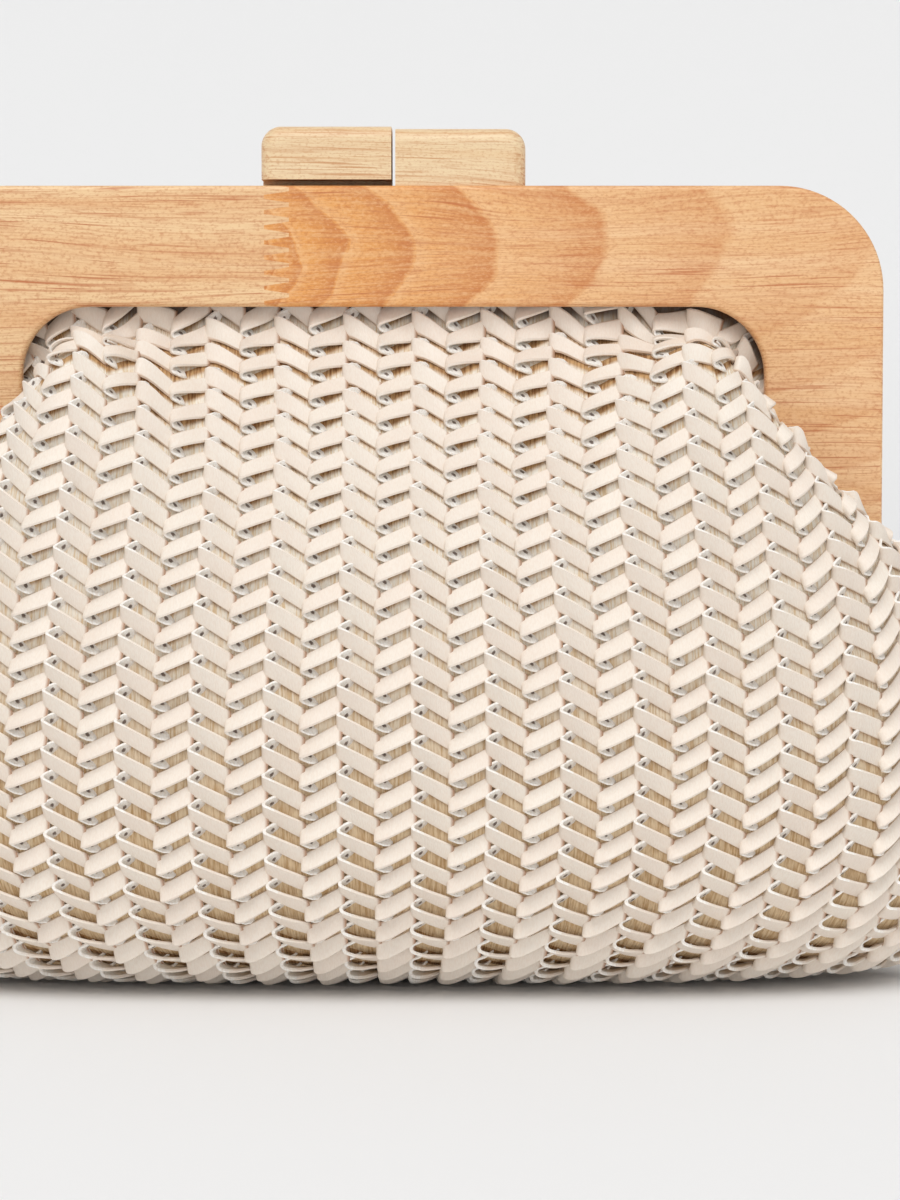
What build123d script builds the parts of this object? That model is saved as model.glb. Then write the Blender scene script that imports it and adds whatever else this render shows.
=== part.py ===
from build123d import *
import math
import os

# Frame: two upside-down U halves that meet at the plane Y = 0, front half towards -Y
frame_width = 244.0
frame_top = 200.0
frame_height = 105.0
bar_width = 30.0
leg_width = 29.5
half_thickness = 14.0
outer_radius = 26.0
inner_radius = 17.0
edge_round = 1.2
closing_gap = 0.3

# Groove round the opening that grips the edge of the woven panel and the lining
groove_depth = 5.0
groove_width = 7.0
groove_lip = 3.5

# Finger joint between the two boards of the front half
finger_centre = -29.0
finger_length = 6.2
finger_count = 8
finger_tip_share = 0.12

# Clasp: one block on each half, each reaching over the other half with a small relief
block_length = 32.4
block_gap = 1.0
block_depth = 25.0
front_block_height = 14.2
back_block_height = 14.8
block_relief = 1.6
block_corner = 5.0
block_round = 3.5

# Dowels under the blocks, and magnets in the meeting faces
dowel_radius = 2.5
dowel_length = 16.0
dowel_spread = 16.0
dowel_clearance = 0.05
magnet_radius = 4.0
magnet_thickness = 3.0
magnet_spread = 34.0
magnet_drop = 20.0
magnet_clearance = 0.05

# Hinges on the leg ends
leaf_length = 24.0
leaf_reach = 12.0
leaf_thickness = 0.9
knuckle_radius = 1.7
knuckle_drop = 0.3
knuckle_gap = 0.2
pin_radius = 0.8
pin_clearance = 0.08
screw_radius = 1.1
screw_length = 10.0
screw_head_radius = 2.0
screw_clearance = 0.05
screw_spread = 13.0

# Woven pouch: outer form, wall and weave
pouch_overhang = 24.0
pouch_half_depth = 59.0
shoulder_height = 127.0
upper_belly_height = 92.0
lower_belly_height = 33.0
neck_depth = 9.5
neck_inset = 6.0
lip_depth = 17.0
lip_side_depth = 26.3
lip_inset = 5.65
edge_seat = 4.0
mouth_end_gap = 2.0
side_swell = 43.0
side_dip = 12.0
side_forward = 14.9
side_tuck = 8.0
corner_rise = 4.0
base_lift = 3.0
even_run = 95.0
column_run = 180.6
wall_thickness = 3.4
ridge_depth = 1.6
zigzag_rise = 4.2
seam_gap = 0.3
hem_height = 6.5
lining_gap = 1.35
lining_slack = 2.5
lining_thickness = 0.8

# Shares of the pouch's own width, depth and height
squareness = 3.0
shoulder_width_share = 0.897
upper_width_share = 0.98
base_width_share = 0.92
fold_width_share = 0.9
shoulder_depth_share = 0.8
upper_depth_share = 0.985
base_front_share = 0.68
base_middle_share = 0.27
shoulder_side_share = 0.866
upper_side_share = 1.04
lower_side_share = 0.97
base_side_share = 0.12
swell_place_share = 0.486
swell_spread_share = 0.247
side_start_share = 0.3
lip_start_share = 0.5
dip_start_share = 0.78

# Counts of the weave as ridges and gaps
columns = 26
rows = 18
rib_samples = 160
curve_samples = 240
gap_first_row = 3
gap_last_row = 15
gap_row_step = 3
gap_column_step = 2
gap_share = 0.42
lining_columns = 16
lining_rows = 9
row_crowding = 1.6

# Values that follow from the sizes above
opening_half = frame_width / 2 - leg_width
pouch_half_width = frame_width / 2 + pouch_overhang
opening_top = frame_top - bar_width
leg_end = frame_top - frame_height
leg_centre = frame_width / 2 - leg_width / 2
face_offset = closing_gap / 2
block_middle = (block_length + block_gap) / 2
bar_middle = half_thickness / 2 + face_offset
hinge_height = leg_end - knuckle_radius - knuckle_drop
groove_front = face_offset + half_thickness - groove_lip
tiny_share = 1e-4

os.makedirs("parts", exist_ok=True)


def save(name, shape):
    """Write one node."""
    export_step(shape, "parts/" + name + ".step")


def mirrored_y(shape):
    """The same shape on the other side of the closing plane."""
    return mirror(shape, about=Plane.XZ)


# Frame halves

def arch(half_width, top, radius):
    """Upside-down U outline in the XZ plane, from the leg ends up."""
    height = top - leg_end
    plate = Plane.XZ * Pos(0, leg_end + height / 2) * Rectangle(2 * half_width, height)
    return fillet(plate.vertices().group_by(Axis.Z)[-1], radius)


def half_blank():
    """Front half before joints and holes: U profile, groove and rounded front edges."""
    outline = arch(frame_width / 2, frame_top, outer_radius)
    opening = arch(opening_half, opening_top, inner_radius)
    blank = Pos(0, -face_offset, 0) * extrude(outline - opening, half_thickness)
    front = blank.faces().sort_by(Axis.Y)[0]
    blank = fillet(front.edges(), edge_round)
    seat = arch(opening_half + groove_depth, opening_top + groove_depth, inner_radius + groove_depth)
    seat = Pos(0, groove_width - groove_front, 0) * extrude(seat, groove_width)
    return blank - seat


def dowel_places(side):
    """Centres of one block's dowels along X; side is +1 for the front half's block."""
    return [side * (block_middle + step * dowel_spread / 2) for step in (-1, 1)]


def dowels(side, clearance):
    """Front dowels of the block on one side, or their holes with clearance."""
    rod = Cylinder(dowel_radius + clearance, dowel_length + 2 * clearance)
    return [Pos(x, -bar_middle, frame_top) * rod for x in dowel_places(side)]


def magnets(clearance):
    """Front magnets, or their pockets with clearance."""
    disc = Rot(90, 0, 0) * Cylinder(magnet_radius + clearance, magnet_thickness + clearance)
    middle = face_offset + (magnet_thickness + clearance) / 2
    height = frame_top - magnet_drop
    return [Pos(step * magnet_spread / 2, -middle, height) * disc for step in (-1, 1)]


def screw_places():
    """Centres of the front hinge screws as X, Y pairs."""
    reach = (leaf_reach + knuckle_radius) / 2
    ends = [side * leg_centre + step * screw_spread / 2 for side in (-1, 1) for step in (-1, 1)]
    return [(x, -reach) for x in ends]


def screws(clearance):
    """Countersunk screws up into the leg ends, or their holes with clearance."""
    shank = Cylinder(screw_radius + clearance, screw_length, align=(Align.CENTER, Align.CENTER, Align.MIN))
    head = Cone(screw_head_radius + clearance, screw_radius + clearance, leaf_thickness,
                align=(Align.CENTER, Align.CENTER, Align.MIN))
    base = leg_end - leaf_thickness
    return [Pos(x, y, base) * (shank + head) for x, y in screw_places()]


def finger_region():
    """Everything left of the finger joint, as a solid through the front half."""
    pitch = bar_width / finger_count
    tip = pitch * finger_tip_share
    near = finger_centre - finger_length / 2
    far = finger_centre + finger_length / 2
    points = [(-frame_width, leg_end), (finger_centre, leg_end), (finger_centre, opening_top)]
    for k in range(finger_count):
        foot = opening_top + k * pitch
        points += [(near, foot + tip), (near, foot + pitch / 2 - tip)]
        points += [(far, foot + pitch / 2 + tip), (far, foot + pitch - tip)]
    points += [(finger_centre, frame_top), (finger_centre, frame_top + bar_width)]
    points += [(-frame_width, frame_top + bar_width)]
    face = make_face(Polyline(*[(x, 0, z) for x, z in points], close=True))
    return extrude(face, half_thickness + closing_gap, dir=(0, -1, 0))


def cut(shape, tools):
    """Take a list of tools out of a shape."""
    for tool in tools:
        shape = shape - tool
    return shape


blank = half_blank()
front_half = cut(blank, dowels(1, dowel_clearance) + magnets(magnet_clearance) + screws(screw_clearance))
left_region = finger_region()
save("frame_front_left_board", front_half & left_region)
save("frame_front_right_board", front_half - left_region)
back_half = cut(blank, dowels(-1, dowel_clearance) + magnets(magnet_clearance) + screws(screw_clearance))
save("frame_back", mirrored_y(back_half))


# Clasp blocks, dowels and magnets

def clasp_block(side, height):
    """Block seated on the front half and relieved over the back half; side is +1 for right of centre."""
    inner = side * block_gap / 2
    middle = Pos(side * block_middle, height / 2)
    profile = Plane.XZ * middle * Rectangle(block_length, height)
    corner = profile.vertices().group_by(Axis.Z)[-1].sort_by(lambda v: abs(v.X - inner))[-1]
    profile = fillet(corner, block_corner)
    body = Pos(0, block_depth / 2, frame_top) * extrude(profile, block_depth)
    rims = [f for f in body.faces() if abs(f.center().Y) > block_depth / 2 - block_round]
    edges = [e for f in rims for e in f.edges()]
    keep = [e for e in edges if e.center().Z > frame_top + tiny_share and abs(e.center().X - inner) > tiny_share]
    body = fillet(keep, block_round)
    relief = Pos(side * block_middle, block_depth / 2 + face_offset, frame_top)
    relief = relief * Box(2 * block_length, block_depth, 2 * block_relief)
    return body - relief


front_block = clasp_block(1, front_block_height)
save("clasp_block_front", cut(front_block, dowels(1, dowel_clearance)))
back_block = cut(clasp_block(-1, back_block_height), dowels(-1, dowel_clearance))
save("clasp_block_back", mirrored_y(back_block))
save("clasp_dowels_front", Compound(children=dowels(1, 0)))
save("clasp_dowels_back", mirrored_y(Compound(dowels(-1, 0))))
save("magnets_front", Compound(children=magnets(0)))
save("magnets_back", mirrored_y(Compound(magnets(0))))


# Hinges

def knuckle_spans(outer):
    """Start and length along the hinge of the outer pair of knuckles, or of the middle one."""
    third = leaf_length / 3
    if outer:
        return [(-leaf_length / 2, third - knuckle_gap / 2), (third / 2 + knuckle_gap / 2, third - knuckle_gap / 2)]
    return [(-third / 2 + knuckle_gap / 2, third - knuckle_gap)]


def hinge_leaf(outer):
    """Front leaf about X = 0: a plate under the leg end with its share of the knuckles."""
    clear_edge = knuckle_radius + knuckle_drop
    top = leg_end - leaf_thickness / 2
    width = leaf_reach - clear_edge
    leaf = Pos(0, -clear_edge - width / 2, top) * Box(leaf_length, width, leaf_thickness)
    for start, length in knuckle_spans(outer):
        place = Pos(start + length / 2, 0, 0)
        leaf += place * Pos(0, -clear_edge / 2, top) * Box(length, clear_edge, leaf_thickness)
        leaf += place * Pos(0, 0, hinge_height) * Rot(0, 90, 0) * Cylinder(knuckle_radius, length)
    bore = Rot(0, 90, 0) * Cylinder(pin_radius + pin_clearance, 2 * leaf_length)
    return leaf - Pos(0, 0, hinge_height) * bore


pin = Rot(0, 90, 0) * Cylinder(pin_radius, leaf_length)
for side, word in ((-1, "left"), (1, "right")):
    place = Pos(side * leg_centre, 0, 0)
    save("hinge_leaf_front_" + word, cut(place * hinge_leaf(True), screws(screw_clearance)))
    back_leaf = cut(place * hinge_leaf(False), screws(screw_clearance))
    save("hinge_leaf_back_" + word, mirrored_y(back_leaf))
    save("hinge_pin_" + word, place * Pos(0, 0, hinge_height) * pin)
save("hinge_screws_front", Compound(children=screws(0)))
save("hinge_screws_back", mirrored_y(Compound(screws(0))))


# Pouch: control curves from the frame's groove to the bottom fold, blended along each rib

def ramp(value, start):
    """Zero up to start, then rising to one at one."""
    return max(0.0, (value - start) / (1 - start))


def arch_point(run, inset):
    """Point at a length along half of the opening's outline, from the top middle down the leg."""
    half = opening_half - inset
    top = opening_top - inset
    radius = inner_radius - inset
    flat = half - radius
    turn = (run - flat) / radius
    if turn < 0:
        return run, top
    if turn < math.pi / 2:
        return flat + radius * math.sin(turn), top - radius * (1 - math.cos(turn))
    return half, top - radius - (run - flat - radius * math.pi / 2)


def mouth_point(share, inset, depth, side_depth):
    """Control point on a copy of the opening's outline; columns are even, then squeezed down the leg."""
    half = opening_half - inset
    radius = inner_radius - inset
    leg = opening_top - inset - radius - leg_end - mouth_end_gap
    total = half - radius + radius * math.pi / 2 + leg
    run = share * column_run
    if run > even_run:
        run = even_run + (run - even_run) * (total - even_run) / (column_run - even_run)
    x, z = arch_point(run, inset)
    forward = depth + (side_depth - depth) * ramp(share, lip_start_share) ** 1.5
    return Vector(x, -forward, z)


def girth_table(half_width, half_depth):
    """Quarter of a squared-off ellipse as (share of its length, x, y) rows."""
    table = []
    length = 0.0
    for k in range(curve_samples + 1):
        angle = math.pi / 2 * k / curve_samples
        x = half_width * math.sin(angle) ** (2 / squareness)
        y = half_depth * max(0.0, math.cos(angle)) ** (2 / squareness)
        if table:
            length += math.hypot(x - table[-1][1], y - table[-1][2])
        table.append((length, x, y))
    return [(run / length, x, y) for run, x, y in table]


def look_up(table, share):
    """Values between the rows of a table sorted by its first entry."""
    low, high = 0, len(table) - 1
    while high - low > 1:
        middle = (low + high) // 2
        if table[middle][0] <= share:
            low = middle
        else:
            high = middle
    start, end = table[low], table[high]
    part = min(1.0, (share - start[0]) / (end[0] - start[0]))
    return [a + (b - a) * part for a, b in zip(start[1:], end[1:])]


shoulder_table = girth_table(shoulder_width_share * pouch_half_width, shoulder_depth_share * pouch_half_depth)
upper_table = girth_table(upper_width_share * pouch_half_width, upper_depth_share * pouch_half_depth)
lower_table = girth_table(pouch_half_width, pouch_half_depth)
base_table = girth_table(base_width_share * pouch_half_width, base_front_share * pouch_half_depth)
inner_base_table = girth_table(base_width_share * pouch_half_width, base_middle_share * pouch_half_depth)


def control_points(share):
    """Control points of one rib of the front panel, mouth first, for a column share from 0 to 1."""
    dip = ramp(share, dip_start_share) ** 2
    late = share ** 4
    points = [mouth_point(share, -edge_seat, neck_depth, neck_depth)]
    points.append(mouth_point(share, neck_inset, neck_depth, neck_depth))
    points.append(mouth_point(share, lip_inset, lip_depth, lip_side_depth))
    x, y = look_up(shoulder_table, share)
    swell = side_swell * math.exp(-((share - swell_place_share) / swell_spread_share) ** 2)
    z = shoulder_height * (1 + (shoulder_side_share - 1) * share ** 3) + swell
    points.append(Vector(x, -y - side_forward * ramp(share, side_start_share) ** 2, z))
    x, y = look_up(upper_table, share)
    z = upper_belly_height * (1 + (upper_side_share - 1) * dip)
    points.append(Vector(x - side_dip * dip, side_tuck * dip - y, z))
    x, y = look_up(lower_table, share)
    points.append(Vector(x, -y, lower_belly_height * (1 + (lower_side_share - 1) * late)))
    x, y = look_up(base_table, share)
    points.append(Vector(x, -y, base_lift + lower_belly_height * base_side_share * late))
    x, y = look_up(inner_base_table, share)
    points.append(Vector(x, -y, lower_belly_height * base_side_share * late))
    points.append(Vector(fold_width_share * pouch_half_width * share, 0, corner_rise * late))
    return points


def spline_weights(count, share):
    """Weights of a clamped cubic spline over count control points."""
    spans = count - 3
    knots = [0.0] * 3 + [k / spans for k in range(spans + 1)] + [1.0] * 3
    share = min(share, 1.0 - tiny_share ** 2)
    weights = [1.0 if knots[k] <= share < knots[k + 1] else 0.0 for k in range(len(knots) - 1)]
    for degree in (1, 2, 3):
        raised = []
        for k in range(len(weights) - 1):
            left = knots[k + degree] - knots[k]
            right = knots[k + degree + 1] - knots[k + 1]
            value = (share - knots[k]) / left * weights[k] if left else 0.0
            if right:
                value += (knots[k + degree + 1] - share) / right * weights[k + 1]
            raised.append(value)
        weights = raised
    return weights


rib_weights = [spline_weights(9, k / rib_samples) for k in range(rib_samples + 1)]


def rib_table(column_share):
    """One rib as (length from the bottom fold, x, y, z) rows; a negative share is the other side."""
    controls = control_points(abs(column_share))
    sign = math.copysign(1.0, column_share)
    table = []
    length = 0.0
    for weights in reversed(rib_weights):
        x = sign * sum(w * p.X for w, p in zip(weights, controls))
        y = min(0.0, sum(w * p.Y for w, p in zip(weights, controls)))
        z = sum(w * p.Z for w, p in zip(weights, controls))
        if table:
            length += math.dist((x, y, z), table[-1][1:])
        table.append((length, x, y, z))
    return table


def net(column_count, row_runs, rise):
    """Points of the outer form and their outward normals, by row from the bottom and by column.

    row_runs gives the lengths of the row lines up a rib of a given length; rise bends them in chevrons.
    """
    step = tiny_share * 20
    points, normals = [], []
    ribs, near, far = [], [], []
    for j in range(column_count + 1):
        share = 2 * j / column_count - 1
        ribs.append(rib_table(share))
        near.append(rib_table(max(-1.0, share - step)))
        far.append(rib_table(min(1.0, share + step)))
    runs = [row_runs(rib[-1][0]) for rib in ribs]
    last = len(runs[0]) - 1
    for i in range(last + 1):
        point_row, normal_row = [], []
        for j in range(column_count + 1):
            total = ribs[j][-1][0]
            bend = rise * (1 if j % 2 else -1) if 0 < i < last - 1 else 0.0
            run = runs[j][i] + bend
            up = total * step
            here = Vector(*look_up(ribs[j], run))
            low = Vector(*look_up(ribs[j], max(0.0, run - up)))
            high = Vector(*look_up(ribs[j], min(total, run + up)))
            before = Vector(*look_up(near[j], run / total * near[j][-1][0]))
            after = Vector(*look_up(far[j], run / total * far[j][-1][0]))
            outward = (after - before).cross(high - low)
            if j in (0, column_count) and here.Y > -seam_gap:
                # On the side seam the wall's thickness lies in the seam's own plane
                outward = Vector(0, 1 if j else -1, 0).cross(high - low)
            point_row.append(here)
            normal_row.append(outward.normalized())
        points.append(point_row)
        normals.append(normal_row)
    return points, normals


def woven_runs(total):
    """Even rows up to the hem, then the hem in the groove."""
    return [(total - hem_height) * i / (rows - 1) for i in range(rows)] + [total]


def lining_runs(total):
    """Rows that get closer towards the mouth, then the hem."""
    shares = [1 - (1 - i / lining_rows) ** row_crowding for i in range(lining_rows + 1)]
    return [(total - hem_height) * share for share in shares] + [total]


def layer(base, inset, slack=0.0):
    """A net moved inwards, and further by slack below the hem, kept on the front of the seam."""
    points, normals = base
    moved = []
    last = len(points) - 1
    for i in range(last + 1):
        loose = slack if i < last - 1 else 0.0
        row = [p - n * (inset + loose) for p, n in zip(points[i], normals[i])]
        moved.append([Vector(p.X, min(p.Y, -seam_gap / 2), p.Z) for p in row])
    return moved


def facet(*corners):
    """One flat face through its corners."""
    return Face(Wire.make_polygon(corners))


def quad(a, b, c, d):
    """Two flat faces over four corners."""
    return [facet(a, b, c), facet(a, c, d)]


def has_gap(i, j):
    """True where the weave is open under the ridge of row line i in column j."""
    inside = gap_first_row <= i <= gap_last_row and 0 < j < columns - 1
    slanted = j % gap_column_step == 0
    return inside and slanted and (i + j // gap_column_step) % gap_row_step == 0


def between(a, b):
    """Point where a gap starts on the edge from a up to b."""
    return b + (a - b) * gap_share


def cell(i, j, low, high, outward, open_gaps):
    """Faces of one cell of a wall side, with the gap corners of its neighbours on its side edges."""
    a, b = low[j], low[j + 1]
    c, d = high[j + 1], high[j]
    right, left = [], []
    if open_gaps and has_gap(i + 1, j):
        c, d = between(b, c), between(a, d)
    elif open_gaps:
        right = [between(b, c)] if has_gap(i + 1, j + 1) else []
        left = [between(a, d)] if has_gap(i + 1, j - 1) else []
    loops = [[a, b, *right, c], [a, c, d, *left]]
    return [facet(*(loop if outward else loop[::-1])) for loop in loops]


def gap_walls(low, high, inner_low, inner_high, j):
    """The four walls of one gap, from the outer face through to the inner one."""
    k = j + 1
    a, b = between(low[j], high[j]), between(low[k], high[k])
    c, d = between(inner_low[k], inner_high[k]), between(inner_low[j], inner_high[j])
    faces = quad(a, b, c, d)
    faces += quad(inner_high[j], inner_high[k], high[k], high[j])
    faces += quad(a, d, inner_high[j], high[j])
    faces += quad(c, b, high[k], inner_high[k])
    return faces


def closed(faces):
    """Solid inside a closed set of faces, begun from the first face that gives it the right way out."""
    for first in range(len(faces)):
        solid = Solid(Shell(faces[first:] + faces[:first]))
        if solid.volume > 0:
            return solid
    raise ValueError("the faces enclose nothing")


def sheet(proud, sunk, inner, open_gaps):
    """Closed solid between layers: each row runs from a proud lower line to a sunk upper line."""
    last = len(proud) - 1
    wide = len(proud[0]) - 1
    stepped = sunk is not proud
    faces = []
    for i in range(last):
        for j in range(wide):
            faces += cell(i, j, proud[i], sunk[i + 1], True, open_gaps)
            faces += cell(i, j, inner[i], inner[i + 1], False, open_gaps)
            if stepped and i:
                faces += quad(sunk[i][j], sunk[i][j + 1], proud[i][j + 1], proud[i][j])
            if open_gaps and has_gap(i + 1, j):
                faces += gap_walls(proud[i], sunk[i + 1], inner[i], inner[i + 1], j)
        foot = sunk[i] if i else proud[i]
        faces += quad(inner[i][0], foot[0], sunk[i + 1][0], inner[i + 1][0])
        faces += quad(foot[wide], inner[i][wide], inner[i + 1][wide], sunk[i + 1][wide])
        if stepped and i:
            faces.append(facet(sunk[i][0], proud[i][0], sunk[i + 1][0]))
            faces.append(facet(proud[i][wide], sunk[i][wide], sunk[i + 1][wide]))
    for j in range(wide):
        faces += quad(inner[0][j], inner[0][j + 1], proud[0][j + 1], proud[0][j])
        faces += quad(sunk[last][j], sunk[last][j + 1], inner[last][j + 1], inner[last][j])
    return closed(faces)


woven_net = net(columns, woven_runs, zigzag_rise)
woven = sheet(layer(woven_net, 0), layer(woven_net, ridge_depth), layer(woven_net, wall_thickness), True)
save("woven_front", woven)
save("woven_back", mirrored_y(woven))
lining_net = net(lining_columns, lining_runs, 0)
lining_outer = layer(lining_net, wall_thickness + lining_gap, lining_slack)
lining_inner = layer(lining_net, wall_thickness + lining_gap + lining_thickness, lining_slack)
lining = sheet(lining_outer, lining_outer, lining_inner, False)
save("lining_front", lining)
save("lining_back", mirrored_y(lining))
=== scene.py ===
import math

import bpy
import numpy as np
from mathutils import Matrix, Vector


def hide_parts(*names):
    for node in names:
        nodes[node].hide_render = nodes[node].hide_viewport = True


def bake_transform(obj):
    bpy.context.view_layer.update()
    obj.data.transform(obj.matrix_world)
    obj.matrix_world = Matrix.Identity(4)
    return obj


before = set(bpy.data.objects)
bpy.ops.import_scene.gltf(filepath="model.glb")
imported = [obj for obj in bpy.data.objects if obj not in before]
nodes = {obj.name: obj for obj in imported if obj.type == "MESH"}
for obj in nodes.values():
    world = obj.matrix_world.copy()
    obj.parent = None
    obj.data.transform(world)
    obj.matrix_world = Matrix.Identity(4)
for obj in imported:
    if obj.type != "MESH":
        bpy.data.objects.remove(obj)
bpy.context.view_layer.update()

MM = 0.001
rng = np.random.default_rng(seed=7)


# The pouch's surface, in millimetres. A value that ends in SHARE is a part of 1

OPENING_HALF, OPENING_TOP, OPENING_RADIUS, LEG_END = 92.5, 170.0, 17.0, 95.0
HALF_WIDTH, HALF_DEPTH = 146.0, 59.0

# Run of half the columns along the opening: even at first, then squeezed to end above the leg's end
COLUMN_RUN, EVEN_RUN, LEG_GAP = 168.0, 95.0, 2.0
SIDE_FROM_SHARE, SIDE_POWER = 0.5, 1.5
GIRTH_POWER, GIRTH_STEPS = 2 / 3, 3000

# Rings of control points, from the groove down
GROOVE_GRIP, MOUTH_INSET, MOUTH_DEPTH = 4.0, 6.0, 9.5
LIP_INSET, LIP_DEPTH, LIP_SIDE_DEPTH = 5.65, 17.0, 26.3
SHOULDER_WIDTH_SHARE, SHOULDER_DEPTH_SHARE = 0.897, 0.8
SHOULDER_HEIGHT, SHOULDER_DROP_SHARE = 127.0, 0.134
SWELL_HEIGHT, SWELL_AT_SHARE, SWELL_IN_SHARE, SWELL_OUT_SHARE = 43.0, 0.486, 0.17, 0.247
PUFF_DEPTH, PUFF_FROM_SHARE = 14.9, 0.3
HIP_WIDTH_SHARE, HIP_DEPTH_SHARE, HIP_HEIGHT = 0.98, 0.985, 92.0
DIP_FROM_SHARE, DIP_IN, DIP_BACK, DIP_LIFT_SHARE = 0.78, 12.0, 8.0, 0.04
BELLY_HEIGHT, BELLY_DROP_SHARE = 33.0, 0.03
BASE_WIDTH_SHARE, BASE_LIFT_SHARE = 0.92, 0.12
# Share of the depth, and height, of each ring of the base
BASE_RINGS = ((0.68, 3.0), (0.27, 0.0))
BOTTOM_WIDTH_SHARE, BOTTOM_LIFT = 0.9, 4.0

# The side seam, where the two panels meet in the middle plane
FACE_CLEAR = 0.15
SEAM_NEAR, SEAM_FROM_SHARE, SEAM_STEEP_SHARE = 0.4, 0.85, 0.5

# Rows above STRETCH_FROM open up where the face leans back, so that they show the same height from the front
STRETCH_FROM, STEEP_EVEN_SHARE, STRETCH_LEAST_SHARE = 120.0, 0.86, 0.66

SPLINE_DEGREE = 3
SPLINE_END = 1 - 1e-12


def past(v, start):
    """How far v is beyond start, as a share of the rest up to 1."""
    return np.clip((v - start) / (1 - start), 0, None)


def mouth_curve(c, inset, depth, side_depth):
    """Points along the opening's outline, inset from it, for column shares c from 0 to 1."""
    half, top, radius = OPENING_HALF - inset, OPENING_TOP - inset, OPENING_RADIUS - inset
    flat, arc = half - radius, radius * math.pi / 2
    total = flat + arc + top - radius - LEG_END - LEG_GAP
    run = c * COLUMN_RUN
    squeezed = EVEN_RUN + (run - EVEN_RUN) * (total - EVEN_RUN) / (COLUMN_RUN - EVEN_RUN)
    run = np.where(run > EVEN_RUN, squeezed, run)
    angle = np.clip((run - flat) / radius, 0, math.pi / 2)
    x = np.where(run < flat, run, flat + radius * np.sin(angle))
    z = top - radius * (1 - np.cos(angle)) - np.clip(run - flat - arc, 0, None)
    y = -(depth + (side_depth - depth) * past(c, SIDE_FROM_SHARE) ** SIDE_POWER)
    return np.stack([x, y, z], 1)


def girth(c, width, depth):
    """Points at even runs along a quarter of a squarish oval."""
    angle = np.linspace(0, math.pi / 2, GIRTH_STEPS)
    x, y = width * np.sin(angle) ** GIRTH_POWER, depth * np.cos(angle) ** GIRTH_POWER
    run = np.concatenate([[0], np.cumsum(np.hypot(np.diff(x), np.diff(y)))])
    return np.interp(c, run / run[-1], x), np.interp(c, run / run[-1], y)


def control_points(c):
    """Rings of control points of the front panel, mouth first, for column shares c from 0 to 1."""
    rings = [
        mouth_curve(c, -GROOVE_GRIP, MOUTH_DEPTH, MOUTH_DEPTH),
        mouth_curve(c, MOUTH_INSET, MOUTH_DEPTH, MOUTH_DEPTH),
        mouth_curve(c, LIP_INSET, LIP_DEPTH, LIP_SIDE_DEPTH),
    ]
    x, y = girth(c, SHOULDER_WIDTH_SHARE * HALF_WIDTH, SHOULDER_DEPTH_SHARE * HALF_DEPTH)
    spread = np.where(c < SWELL_AT_SHARE, SWELL_IN_SHARE, SWELL_OUT_SHARE)
    swell = SWELL_HEIGHT * np.exp(-(((c - SWELL_AT_SHARE) / spread) ** 2))
    z = SHOULDER_HEIGHT * (1 - SHOULDER_DROP_SHARE * c**3) + swell
    rings.append(np.stack([x, -y - PUFF_DEPTH * past(c, PUFF_FROM_SHARE) ** 2, z], 1))
    x, y = girth(c, HIP_WIDTH_SHARE * HALF_WIDTH, HIP_DEPTH_SHARE * HALF_DEPTH)
    dip = past(c, DIP_FROM_SHARE) ** 2
    z = HIP_HEIGHT * (1 + DIP_LIFT_SHARE * dip)
    rings.append(np.stack([x - DIP_IN * dip, DIP_BACK * dip - y, z], 1))
    x, y = girth(c, HALF_WIDTH, HALF_DEPTH)
    rings.append(np.stack([x, -y, BELLY_HEIGHT * (1 - BELLY_DROP_SHARE * c**4)], 1))
    for depth_share, height in BASE_RINGS:
        x, y = girth(c, BASE_WIDTH_SHARE * HALF_WIDTH, depth_share * HALF_DEPTH)
        rings.append(np.stack([x, -y, height + BELLY_HEIGHT * BASE_LIFT_SHARE * c**4], 1))
    rings.append(np.stack([BOTTOM_WIDTH_SHARE * HALF_WIDTH * c, np.zeros_like(c), BOTTOM_LIFT * c**4], 1))
    return rings


def spline_weights(w, count):
    """Weight of each of count control points at the places w of a clamped spline."""
    inner = np.linspace(0, 1, count - SPLINE_DEGREE + 1)
    knots = np.concatenate([[0] * SPLINE_DEGREE, inner, [1] * SPLINE_DEGREE])
    w = np.clip(w, 0, SPLINE_END)
    basis = [((knots[i] <= w) & (w < knots[i + 1])).astype(float) for i in range(len(knots) - 1)]
    for degree in range(1, SPLINE_DEGREE + 1):
        raised = []
        for i in range(len(knots) - 1 - degree):
            left, right = knots[i + degree] - knots[i], knots[i + degree + 1] - knots[i + 1]
            v = np.zeros_like(w)
            if left > 0:
                v = v + (w - knots[i]) / left * basis[i]
            if right > 0:
                v = v + (knots[i + degree + 1] - w) / right * basis[i + 1]
            raised.append(v)
        basis = raised
    return basis


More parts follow.
